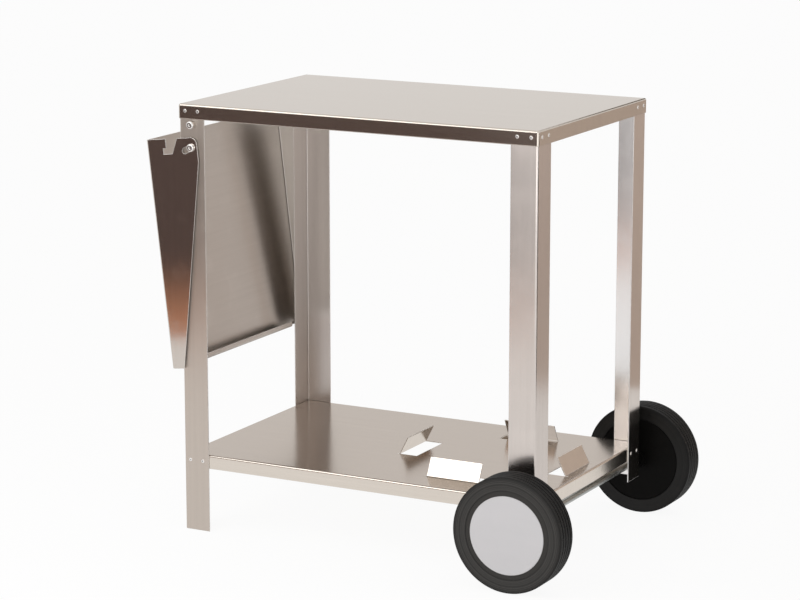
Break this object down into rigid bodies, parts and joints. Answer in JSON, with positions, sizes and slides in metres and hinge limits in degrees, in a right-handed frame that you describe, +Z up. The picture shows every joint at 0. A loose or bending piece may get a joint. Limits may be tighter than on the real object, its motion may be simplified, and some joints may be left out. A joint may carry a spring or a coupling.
{
  "type": "plancha cart",
  "caption": "Folded stainless steel trolley for a plancha grill, with a flat top, a lower shelf with bottle tabs, a folding side shelf and wheels at one end.",
  "frame": {"origin": "on the floor, below the middle of the cart's bounding box with the side shelf hanging", "axes": "+X along the length towards the wheels, +Y towards the back, +Z up"},
  "size_m": [0.8442, 0.601, 0.77],
  "materials": {
    "sheet_steel": "fine brushed stainless",
    "fastener_steel": "bright",
    "axle_steel": "drawn bar",
    "tyre_rubber": "matt",
    "hub_plastic": "satin moulded",
    "cap_plastic": "satin",
    "bush_plastic": "natural"
  },
  "bodies": {
    "frame": {"table_top": "sheet_steel", "leg_front_left": "sheet_steel", "leg_back_left": "sheet_steel", "leg_front_right": "sheet_steel", "leg_back_right": "sheet_steel", "lower_shelf": "sheet_steel", "top_rivets": "fastener_steel", "shelf_rivets": "fastener_steel", "pivot_bolts": "fastener_steel", "pivot_nuts": "fastener_steel", "hook_bolts": "fastener_steel", "hook_nuts": "fastener_steel", "axle": "axle_steel", "axle_spacers": "hub_plastic", "axle_washers": "hub_plastic", "axle_retainers": "fastener_steel"},
    "pivot": {"pivot_bushes": "bush_plastic"},
    "side_shelf": {"side_shelf": "sheet_steel"},
    "wheel_front": {"tyre_front": "tyre_rubber", "hub_front": "hub_plastic", "cap_front": "cap_plastic"},
    "wheel_back": {"tyre_back": "tyre_rubber", "hub_back": "hub_plastic", "cap_back": "cap_plastic"}
  },
  "joints": [
    {"name": "wheel_front_spin", "type": "hinge", "parent": "frame", "child": "wheel_front", "pos_m": [0.32213, -0.2765, 0.1], "axis": [0, 1, 0], "continuous": true},
    {"name": "wheel_back_spin", "type": "hinge", "parent": "frame", "child": "wheel_back", "pos_m": [0.32213, 0.2765, 0.1], "axis": [0, 1, 0], "continuous": true},
    {"name": "side_shelf_fold", "type": "hinge", "parent": "frame", "child": "pivot", "pos_m": [-0.32987, 0, 0.694], "axis": [0, 1, 0], "range_deg": [0, 96.6]},
    {"name": "side_shelf_drop", "type": "slide", "parent": "pivot", "child": "side_shelf", "axis": [0.8992, 0, 0.4376], "range_m": [0, 0.01388]}
  ]
}
